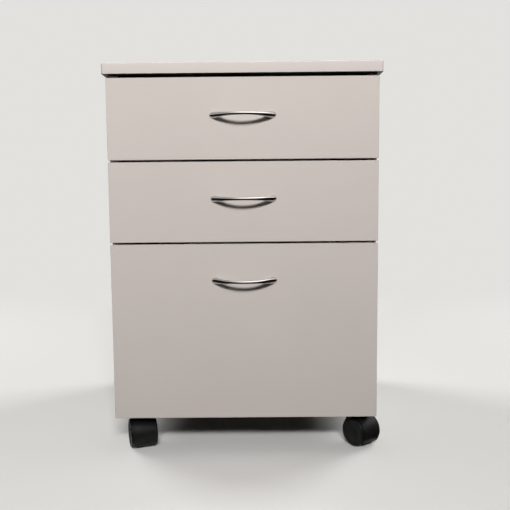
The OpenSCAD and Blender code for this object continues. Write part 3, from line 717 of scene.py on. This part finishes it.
def hood_rings(castors, radius, steps=59):
    """The hood: a thin rounded strip carried round the axle from low in front, over the top, to the back.

    Each ring is the strip's section, half width by half wall with round edges, at one turn about the axle;
    its outer face is crowned by the fourth power of the place across, and the first and last rings are
    drawn in so that the ends are rounded."""
    inner = radius + castors.hood_gap
    half_wall, half_width = castors.hood_wall / 2, castors.hood_width / 2
    crown, edge_radius = 0.35 * MM, 0.95 * half_wall
    section = rounded_outline(half_width, half_wall, edge_radius, 6)
    fall = -crown * (section[:, 0] / half_width) ** 4
    middle = inner + half_wall
    off = section[:, 1] + np.where(section[:, 1] > 0, fall, 0)
    end_draws, end_places = np.array((0.35, 0.75, 1.0)), np.array((0, 0.3, 1))
    draw = np.concatenate((end_draws, np.ones(steps), end_draws[::-1]))[:, None]
    step = math.degrees(half_wall / inner)
    degrees = np.concatenate((
        HOOD_START + end_places * step,
        np.linspace(HOOD_START + 2 * step, HOOD_END - 2 * step, steps),
        HOOD_END - end_places[::-1] * step,
    ))
    narrowing = 0.02
    across = section[:, 0] * (1 - (1 - draw) * narrowing)
    return about_axle(middle + off * draw, across, np.radians(degrees)[:, None])


def web_rings(castors, radius, sides=180):
    """The web between the wheels: an outline r(turn) about the axle, at places across its thickness.

    r is just under the hood's middle between the hood's ends and the axle eye's radius elsewhere, with a
    smooth step that starts just outside each end."""
    far = radius + castors.hood_gap + 0.4 * castors.hood_wall
    near = castors.axle / 2 + 6.5 * MM
    turns = np.linspace(0, TAU, sides, endpoint=False)
    degrees = (np.degrees(turns) + 90) % 360 - 90
    overlap, step = 1, 8
    after_start = np.clip((degrees - HOOD_START + overlap) / step, 0, 1)
    before_end = np.clip((HOOD_END + overlap - degrees) / step, 0, 1)
    rise = after_start * before_end
    outline = near + (far - near) * rise * rise * (3 - 2 * rise)
    half, edge = castors.web / 2, 0.6 * MM
    edge_places, edge_insets = np.array((0, 0.3, 1)) * edge, np.array((1, 0.3, 0)) * edge
    places = np.concatenate((edge_places - half, half - edge_places[::-1]))[:, None]
    insets = np.concatenate((edge_insets, edge_insets[::-1]))[:, None]
    return about_axle(outline - insets, places, turns)


def boss_rings(castors, radius, trail, top, sides=72):
    """The swivel boss: rings about the kingpin, from its floor up its wall and over a rounded edge.

    At each point the floor is the height of the hood's face there, the root of the hood's radius squared
    less the distance ahead of the axle squared, or a fixed ledge behind it."""
    turns = np.linspace(0, TAU, sides, endpoint=False)
    hood = radius + castors.hood_gap + 0.5 * castors.hood_wall
    full, ledge, soft = castors.boss / 2, 7 * MM, 1.2 * MM
    floor_reach = full * np.array((0.25, 0.5, 0.75, 1.0))[:, None]
    ahead = floor_reach * np.cos(turns) - trail
    floor = np.maximum(ledge, np.sqrt(np.maximum(hood**2 - ahead**2, 0)))
    edge = np.linspace(0, QUARTER, 6)[:, None]
    cap_reach = full * np.array((0.6, 0.3))[:, None]
    return np.concatenate((
        round_axis(floor_reach, floor, turns),
        round_axis(full - soft * (1 - np.cos(edge)), top - soft * (1 - np.sin(edge)), turns),
        round_axis(cap_reach, top, turns),
    ))


class PEDESTAL_OT_castors(bpy.types.Operator):
    """Makes the castors' hooded housings and turned wheels"""

    bl_idname = "pedestal.castors"
    bl_label = "Castors"

    def execute(self, context):
        castors = context.scene.pedestal_castors
        black = finish("castor_nylon", castor_nylon, castors.nylon, castors.dust)
        for castor in CASTORS:
            swivel = np.array(JOINTS[castor + "_swivel"]["pos_m"])
            spin = JOINTS[castor + "_left_wheel_spin"]
            centre, axle = np.array(spin["pos_m"]), np.array(spin["axis"])
            radius = centre[2]
            ahead = np.array((centre[0] - swivel[0], centre[1] - swivel[1], 0))
            trail = np.linalg.norm(ahead)
            ahead /= trail
            foot = (swivel[0], swivel[1], radius)
            top = swivel[2] - castors.plate - castors.plate_gap - radius
            shell = Shell()
            shell.add(placed(hood_rings(castors, radius), centre, ahead, axle, UP))
            shell.add(placed(web_rings(castors, radius), centre, ahead, axle, UP))
            shell.add(placed(boss_rings(castors, radius, trail, top), foot, ahead, axle, UP))
            shell.piece(castor + "_hood", black, castor, [castor + "_housing"], sharp=40)
            rings = turned_rings(wheel_profile(radius, castors.wheel_width, castors.axle), 96)
            for side, sign in (("left", -1), ("right", 1)):
                wheel = f"{castor}_{side}_wheel"
                start = centre + axle * sign * (castors.web / 2 + castors.wheel_gap)
                shell = Shell()
                shell.add(placed(rings, start, ahead, UP, axle * sign))
                shell.piece(wheel + "_tread", black, wheel, [wheel], sharp=40)
            coat(castor + "_axle", zinc_finish(context.scene.pedestal_fittings))
        return {"FINISHED"}


class PEDESTAL_OT_drawer_boxes(bpy.types.Operator):
    """Makes the drawer bases and backs, and finishes the steel sides, runners, slides and rails"""

    bl_idname = "pedestal.drawer_boxes"
    bl_label = "Drawer boxes"

    def execute(self, context):
        boards = context.scene.pedestal_boards
        fittings = context.scene.pedestal_fittings
        pale = finish("drawer_board", drawer_board, boards.drawer_face)
        epoxy = finish("epoxy_steel", epoxy_steel, fittings.epoxy)
        bright = finish("bearing_steel", zinc_plate, tint(fittings.zinc, 1.15), BALL_ROUGH)
        roller = finish("roller_nylon", moulded_plastic, fittings.roller, ROLLER_ROUGH)
        rail = finish("rail_plastic", moulded_plastic, fittings.rail, RAIL_ROUGH)
        arrises = (boards.box_arris, boards.box_arris)
        for drawer in DRAWERS:
            for part, across in (("base", Z_AXIS), ("back", Y_AXIS)):
                node = f"{drawer}_{part}"
                rings, _ = board_rings(*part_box(node), across, arrises, steps=4)
                shell = Shell()
                shell.add(rings)
                shell.piece(node + "_board", pale, drawer, [node])
            for side in ("left_side", "right_side"):
                coat(f"{drawer}_{side}", epoxy)
        for drawer in ("top", "middle"):
            coat(drawer + "_cabinet_runners", epoxy)
            coat(drawer + "_cabinet_rollers", roller)
            coat(drawer + "_drawer_rollers", roller)
        for member in ("outer", "middle", "inner"):
            coat(f"file_slide_{member}_members", zinc_finish(fittings))
        for row in ("outer", "inner"):
            coat(f"file_slide_{row}_balls", bright)
        coat("file_hanging_rails", rail)
        return {"FINISHED"}


def dome_rings(radius, height, steps=40):
    """A low dome: a short rim, then a quarter ellipse up to the middle."""
    rim_share, pole_turn = 0.25, QUARTER - 0.02
    turn = np.linspace(0, pole_turn, 9)
    reach = radius * np.cos(turn)
    place = height * (rim_share + (1 - rim_share) * np.sin(turn))
    profile = np.concatenate((((radius, 0),), np.stack((reach, place), axis=-1)))
    return turned_rings(profile, steps)


class PEDESTAL_OT_fittings(bpy.types.Operator):
    """Makes the buffers behind the drawer fronts and finishes the fasteners"""

    bl_idname = "pedestal.fittings"
    bl_label = "Small fittings"

    def execute(self, context):
        fittings = context.scene.pedestal_fittings
        fasteners = ["cam_locks", "cam_bolts", "runner_screws", "castor_plates", "castor_screws"]
        fasteners += [drawer + "_screws" for drawer in DRAWERS]
        for node in fasteners:
            coat(node, zinc_finish(fittings))
        coat("wood_dowels", finish("turned_beech", turned_beech, fittings.beech))
        self.buffers(fittings)
        return {"FINISHED"}

    def buffers(self, fittings):
        """Soft buffers on the front edges of the sides, two behind the upper part of each drawer front."""
        right_way, forwards = (1, 0, 0), (0, -1, 0)
        left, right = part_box("left_side_panel"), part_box("right_side_panel")
        gap = left[0][1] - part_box("top_drawer_front")[1][1]
        dome = dome_rings(fittings.buffer / 2, fittings.buffer_share * gap)
        shell = Shell()
        for drawer in DRAWERS:
            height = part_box(drawer + "_front")[1][2] - fittings.buffer_drop
            for low, high in (left, right):
                spot = ((low[0] + high[0]) / 2, low[1], height)
                shell.add(placed(dome, spot, right_way, UP, forwards))
        soft = finish("buffer_silicone", moulded_plastic, fittings.silicone, BUFFER_ROUGH)
        shell.piece("front_buffers", soft, "carcass")


# Lamps: name, place, target, width and height in metres, property of the power, seen in reflections
LAMPS = (
    ("key_lamp", (0.1, -2.75, 1.84), (-0.9, -0.2, 1.7), (0.9, 0.45), "key_power", False),
    ("overhead_lamp", (0.9, -0.8, 2.5), (0, -0.1, 0.3), (2.0, 0.6), "overhead_power", True),
    ("left_fill", (-2.2, 1.5, 1.9), (0, 0.1, 0.35), (1.4, 1.4), "fill_power", False),
    ("right_fill", (2.2, 1.5, 1.9), (0, 0.1, 0.35), (1.4, 1.4), "fill_power", False),
)


class PEDESTAL_OT_stage(bpy.types.Operator):
    """Sets the floor, the lamps, the even light and the camera"""

    bl_idname = "pedestal.stage"
    bl_label = "Stage"

    def execute(self, context):
        stage = context.scene.pedestal_stage
        context.scene.view_settings.view_transform = "Standard"
        self.floor(stage)
        self.flag(stage)
        self.world(context.scene, stage)
        for name, place, target, size, power, reflected in LAMPS:
            lamp = self.lamp(name, place, target, size, getattr(stage, power))
            lamp.visible_glossy = reflected
        self.camera(context.scene, stage)
        return {"FINISHED"}

    def floor(self, stage):
        """A wide square at height 0: pale paper near the object, fading into the backdrop's colour.

        The light that it throws at other things has a darker colour of its own."""
        made = Finish("floor_paper")
        rays = made.node("ShaderNodeLightPath")
        paper = made.blotched(stage.floor, scale=1.3, detail=3, low=0.99, high=1)
        skin = made.mix(rays.outputs["Is Diffuse Ray"], paper, stage.bounce)
        material = made.shade(Base_Color=skin, Roughness=0.9, Specular_IOR_Level=0.2)
        away = made.node("ShaderNodeVectorMath", set_operation="LENGTH", Vector=made.place)
        fade = made.node(
            "ShaderNodeMapRange",
            set_interpolation_type="SMOOTHSTEP",
            Value=away.outputs["Value"],
            From_Min=stage.fade_start,
            From_Max=stage.fade_end,
        )
        share = made.calculate("MULTIPLY", made.seen(rays), fade.outputs["Result"])
        far = made.node("ShaderNodeEmission", Color=stage.backdrop, Strength=1.0)
        made.mix_shaders(share, made.shader, far, "Material Output")
        reach = 30.0
        corners = reach * np.array(((-1, -1, 0), (1, -1, 0), (1, 1, 0), (-1, 1, 0)))
        self.sheet("floor", corners, np.arange(4)[None, :], material)

    def flag(self, stage):
        """A dark card round the front, which only reflections see, so that the chrome has a dark side.

        Its profile of reach and height, level near the floor and then a rising wall, is carried round the
        object's upright axis from behind its left, past its front, to behind its right."""
        made = Finish("flag_card")
        skin = made.blotched(stage.flag, scale=20, detail=3, low=1, high=1.2)
        material = made.shade(Base_Color=skin, Roughness=0.9, Specular_IOR_Level=0.1)
        level = 0.001
        wall = ((2.45, 0.3), (2.5, stage.flag_height))
        profile = np.array(((0.3, level), (1.2, level), (2.3, level), *wall))
        start, end, steps = 115, 425, 63
        turns = np.radians(np.linspace(start, end, steps))
        points = round_axis(profile[:, 0, None], profile[:, 1, None], turns)
        first = np.arange(len(profile) - 1)[:, None] * steps + np.arange(steps - 1)[None, :]
        corners = (first, first + steps, first + steps + 1, first + 1)
        faces = np.stack(corners, axis=-1).reshape(-1, 4)
        card = self.sheet("flag", points.reshape(-1, 3), faces, material)
        card.visible_camera = False
        card.visible_diffuse = False
        card.visible_transmission = False
        card.visible_shadow = False

    def sheet(self, name, points, faces, material):
        """A stage surface from its points and faces."""
        mesh = bpy.data.meshes.new(name)
        mesh.from_pydata(points.tolist(), [], faces.tolist())
        mesh.materials.append(material)
        obj = bpy.data.objects.new(name, mesh)
        bpy.context.scene.collection.objects.link(obj)
        return obj

    def world(self, scene, stage):
        """Even light for the object, and for the camera and reflections a pale backdrop under a ceiling.

        The ceiling is greyer than the backdrop, and brighter in front and to the right."""
        world = bpy.data.worlds.new("studio")
        scene.world = world
        world.use_nodes = True
        made = Graph(world.node_tree, "Generated")
        even = made.tree.nodes["Background"]
        made.put(even.inputs["Color"], WHITE)
        made.put(even.inputs["Strength"], stage.ambient)
        height = made.part("Z")
        above = made.span(height, start=stage.ceiling_start, end=stage.ceiling_end)
        shade = made.mix(above, stage.backdrop, stage.ceiling)
        rightwards = made.span(made.part("X"), start=stage.bright_start, end=stage.bright_end)
        upwards = made.span(height, start=stage.ceiling_start, end=stage.ceiling_start + stage.bright_rise)
        bright = made.calculate("MULTIPLY", rightwards, upwards)
        shade = made.mix(bright, shade, (stage.bright_side,) * 3)
        seen = made.node("ShaderNodeBackground", Color=shade)
        made.mix_shaders(made.seen(made.node("ShaderNodeLightPath")), even, seen, "World Output")

    def lamp(self, name, place, target, size, power):
        """A rectangular soft lamp that faces a target."""
        light = bpy.data.lights.new(name, "AREA")
        light.shape = "RECTANGLE"
        light.size, light.size_y = size
        light.energy = power
        obj = bpy.data.objects.new(name, light)
        obj.location = place
        obj.rotation_euler = (Vector(target) - Vector(place)).to_track_quat("-Z", "Y").to_euler()
        bpy.context.scene.collection.objects.link(obj)
        return obj

    def camera(self, scene, stage):
        """A camera from its eye point and its yaw, downward pitch and roll."""
        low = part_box("file_drawer_front")[0]
        eye = Vector(stage.eye) + Vector((0, low[1], low[2]))
        ahead = Vector((
            math.sin(stage.yaw) * math.cos(stage.pitch),
            math.cos(stage.yaw) * math.cos(stage.pitch),
            -math.sin(stage.pitch),
        ))
        right = Vector((math.cos(stage.yaw), -math.sin(stage.yaw), 0))
        up = right.cross(ahead)
        turned_right = math.cos(stage.roll) * right + math.sin(stage.roll) * up
        turned_up = -math.sin(stage.roll) * right + math.cos(stage.roll) * up
        data = bpy.data.cameras.new("camera")
        data.sensor_width = SENSOR_WIDTH
        data.lens = stage.lens
        obj = bpy.data.objects.new("camera", data)
        obj.matrix_world = Matrix((
            (turned_right.x, turned_up.x, -ahead.x, eye.x),
            (turned_right.y, turned_up.y, -ahead.y, eye.y),
            (turned_right.z, turned_up.z, -ahead.z, eye.z),
            (0, 0, 0, 1),
        ))
        scene.collection.objects.link(obj)
        scene.camera = obj


OPERATORS = (
    PEDESTAL_OT_stage,
    PEDESTAL_OT_carcass,
    PEDESTAL_OT_fronts,
    PEDESTAL_OT_handles,
    PEDESTAL_OT_castors,
    PEDESTAL_OT_drawer_boxes,
    PEDESTAL_OT_fittings,
)


class PEDESTAL_PT_sidebar(bpy.types.Panel):
    """Lists the steps that dress the cabinet"""

    bl_idname = "PEDESTAL_PT_sidebar"
    bl_label = "Pedestal"
    bl_space_type = "VIEW_3D"
    bl_region_type = "UI"
    bl_category = "Pedestal"

    def draw(self, context):
        for operator in OPERATORS:
            self.layout.operator(operator.bl_idname)


GROUPS = {
    "pedestal_boards": PEDESTAL_PG_boards,
    "pedestal_handles": PEDESTAL_PG_handles,
    "pedestal_castors": PEDESTAL_PG_castors,
    "pedestal_fittings": PEDESTAL_PG_fittings,
    "pedestal_stage": PEDESTAL_PG_stage,
}


def register():
    """Registers the property groups, which the scene then holds, the operators and the panel."""
    for name, group in GROUPS.items():
        bpy.utils.register_class(group)
        setattr(bpy.types.Scene, name, bpy.props.PointerProperty(type=group))
    for operator in OPERATORS:
        bpy.utils.register_class(operator)
    bpy.utils.register_class(PEDESTAL_PT_sidebar)


def unregister():
    """Undoes register, in the opposite order."""
    bpy.utils.unregister_class(PEDESTAL_PT_sidebar)
    for operator in reversed(OPERATORS):
        bpy.utils.unregister_class(operator)
    for name, group in reversed(GROUPS.items()):
        delattr(bpy.types.Scene, name)
        bpy.utils.unregister_class(group)


def main():
    """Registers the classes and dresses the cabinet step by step."""
    register()
    bpy.ops.pedestal.stage()
    bpy.ops.pedestal.carcass()
    bpy.ops.pedestal.fronts()
    bpy.ops.pedestal.handles()
    bpy.ops.pedestal.castors()
    bpy.ops.pedestal.drawer_boxes()
    bpy.ops.pedestal.fittings()


if __name__ == "__main__":
    main()
